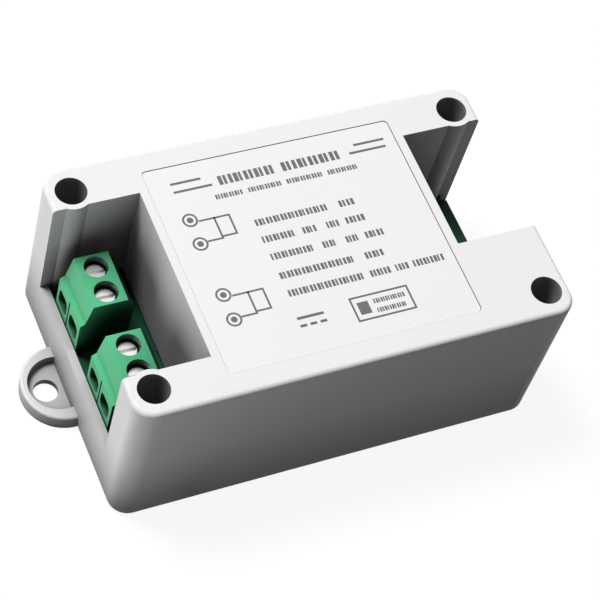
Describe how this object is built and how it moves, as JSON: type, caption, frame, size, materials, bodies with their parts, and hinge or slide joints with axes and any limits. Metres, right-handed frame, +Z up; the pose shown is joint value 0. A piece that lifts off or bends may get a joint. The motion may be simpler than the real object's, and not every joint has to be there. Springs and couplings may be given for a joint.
{
  "type": "smart relay module",
  "caption": "White boxed relay module with an open bay at each end, green screw terminals and mounting ears.",
  "frame": {"origin": "centre of the case's underside", "axes": "+X along the case to the right end, +Y to the back, +Z up out of the label"},
  "size_m": [0.0944, 0.0492, 0.033],
  "materials": {
    "case_plastic": "white ABS, satin",
    "label_film": "printed film, matte",
    "screw_steel": "dark plated steel",
    "board_laminate": "green solder mask over glass laminate",
    "terminal_green": "green nylon, satin",
    "nickel": "nickel plated steel",
    "tin": "tinned brass",
    "relay_plastic": "blue moulded case",
    "bobbin_plastic": "natural nylon",
    "soft_iron": "bright soft iron",
    "copper": "enamelled copper wire",
    "contact_bronze": "spring bronze",
    "can_sleeve": "aluminium can in a dark sleeve",
    "ferrite": "sintered ferrite",
    "chip_black": "moulded epoxy",
    "ceramic": "ceramic",
    "shield_steel": "tin plated steel",
    "lens_clear": "clear moulded lens"
  },
  "bodies": {
    "base": {"base_tray": "case_plastic", "circuit_board": "board_laminate", "board_screws": "nickel", "relay_case": "relay_plastic", "relay_base": "relay_plastic", "relay_yoke": "soft_iron", "relay_core": "soft_iron", "relay_bobbin": "bobbin_plastic", "relay_winding": "copper", "relay_closed_contact": "contact_bronze", "relay_open_contact": "contact_bronze", "relay_coil_pins": "tin", "capacitor_1": "can_sleeve", "capacitor_2": "can_sleeve", "capacitor_leads": "tin", "inductor_core": "ferrite", "inductor_winding": "copper", "radio_board": "board_laminate", "radio_shield_can": "shield_steel", "chip_antenna": "ceramic", "button_housing": "chip_black", "button_plate": "shield_steel", "regulator_chip": "chip_black", "flyback_diode": "chip_black", "driver_transistor": "chip_black", "status_led": "lens_clear", "chip_resistors": "chip_black", "chip_capacitors": "ceramic", "terminal_housing_back": "terminal_green", "contact_bars_back": "tin", "terminal_housing_front": "terminal_green", "contact_bars_front": "tin"},
    "cover": {"top_cover": "case_plastic", "cover_label": "label_film"},
    "cover_screw_1": {"cover_screw_1": "screw_steel"},
    "cover_screw_2": {"cover_screw_2": "screw_steel"},
    "cover_screw_3": {"cover_screw_3": "screw_steel"},
    "cover_screw_4": {"cover_screw_4": "screw_steel"},
    "terminal_screw_1": {"terminal_screw_1": "nickel"},
    "clamp_cage_1": {"clamp_cage_1": "nickel"},
    "terminal_screw_2": {"terminal_screw_2": "nickel"},
    "clamp_cage_2": {"clamp_cage_2": "nickel"},
    "terminal_screw_3": {"terminal_screw_3": "nickel"},
    "clamp_cage_3": {"clamp_cage_3": "nickel"},
    "terminal_screw_4": {"terminal_screw_4": "nickel"},
    "clamp_cage_4": {"clamp_cage_4": "nickel"},
    "armature": {"relay_armature": "soft_iron", "relay_moving_contact": "contact_bronze"},
    "button": {"button_plunger": "chip_black"}
  },
  "joints": [
    {"name": "cover_lift", "type": "slide", "parent": "base", "child": "cover", "axis": [0, 0, 1], "range_m": [0, 0.035]},
    {"name": "cover_screw_1_turn", "type": "hinge", "parent": "cover", "child": "cover_screw_1", "pos_m": [-0.03555, 0.01975, 0.016], "axis": [0, 0, 1], "range_deg": [0, 2160]},
    {"name": "cover_screw_2_turn", "type": "hinge", "parent": "cover", "child": "cover_screw_2", "pos_m": [-0.03555, -0.01975, 0.016], "axis": [0, 0, 1], "range_deg": [0, 2160]},
    {"name": "cover_screw_3_turn", "type": "hinge", "parent": "cover", "child": "cover_screw_3", "pos_m": [0.03555, 0.01975, 0.016], "axis": [0, 0, 1], "range_deg": [0, 2160]},
    {"name": "cover_screw_4_turn", "type": "hinge", "parent": "cover", "child": "cover_screw_4", "pos_m": [0.03555, -0.01975, 0.016], "axis": [0, 0, 1], "range_deg": [0, 2160]},
    {"name": "terminal_screw_1_turn", "type": "hinge", "parent": "base", "child": "terminal_screw_1", "pos_m": [-0.0332, 0.0105, 0.0205], "axis": [0, 0, 1], "range_deg": [-1296, 0]},
    {"name": "clamp_cage_1_lift", "type": "slide", "parent": "base", "child": "clamp_cage_1", "axis": [0, 0, 1], "range_m": [0, 0.0018]},
    {"name": "terminal_screw_2_turn", "type": "hinge", "parent": "base", "child": "terminal_screw_2", "pos_m": [-0.0332, 0.00542, 0.0205], "axis": [0, 0, 1], "range_deg": [-1296, 0]},
    {"name": "clamp_cage_2_lift", "type": "slide", "parent": "base", "child": "clamp_cage_2", "axis": [0, 0, 1], "range_m": [0, 0.0018]},
    {"name": "terminal_screw_3_turn", "type": "hinge", "parent": "base", "child": "terminal_screw_3", "pos_m": [-0.0332, -0.00542, 0.0205], "axis": [0, 0, 1], "range_deg": [-1296, 0]},
    {"name": "clamp_cage_3_lift", "type": "slide", "parent": "base", "child": "clamp_cage_3", "axis": [0, 0, 1], "range_m": [0, 0.0018]},
    {"name": "terminal_screw_4_turn", "type": "hinge", "parent": "base", "child": "terminal_screw_4", "pos_m": [-0.0332, -0.0105, 0.0205], "axis": [0, 0, 1], "range_deg": [-1296, 0]},
    {"name": "clamp_cage_4_lift", "type": "slide", "parent": "base", "child": "clamp_cage_4", "axis": [0, 0, 1], "range_m": [0, 0.0018]},
    {"name": "armature_tilt", "type": "hinge", "parent": "base", "child": "armature", "pos_m": [-0.0159, 0.009, 0.0204], "axis": [0, 1, 0], "range_deg": [0, 2.6], "stiffness_Nm_per_rad": 0.005, "springref_deg": -11.46},
    {"name": "button_press", "type": "slide", "parent": "base", "child": "button", "axis": [0, 0, -1], "range_m": [0, 0.00025], "stiffness_N_per_m": 600, "springref_m": -0.0005}
  ],
  "couplings": [
    {"joint": "terminal_screw_1_turn", "follows": "clamp_cage_1_lift", "rad_per_m": -12566},
    {"joint": "terminal_screw_2_turn", "follows": "clamp_cage_2_lift", "rad_per_m": -12566},
    {"joint": "terminal_screw_3_turn", "follows": "clamp_cage_3_lift", "rad_per_m": -12566},
    {"joint": "terminal_screw_4_turn", "follows": "clamp_cage_4_lift", "rad_per_m": -12566}
  ]
}
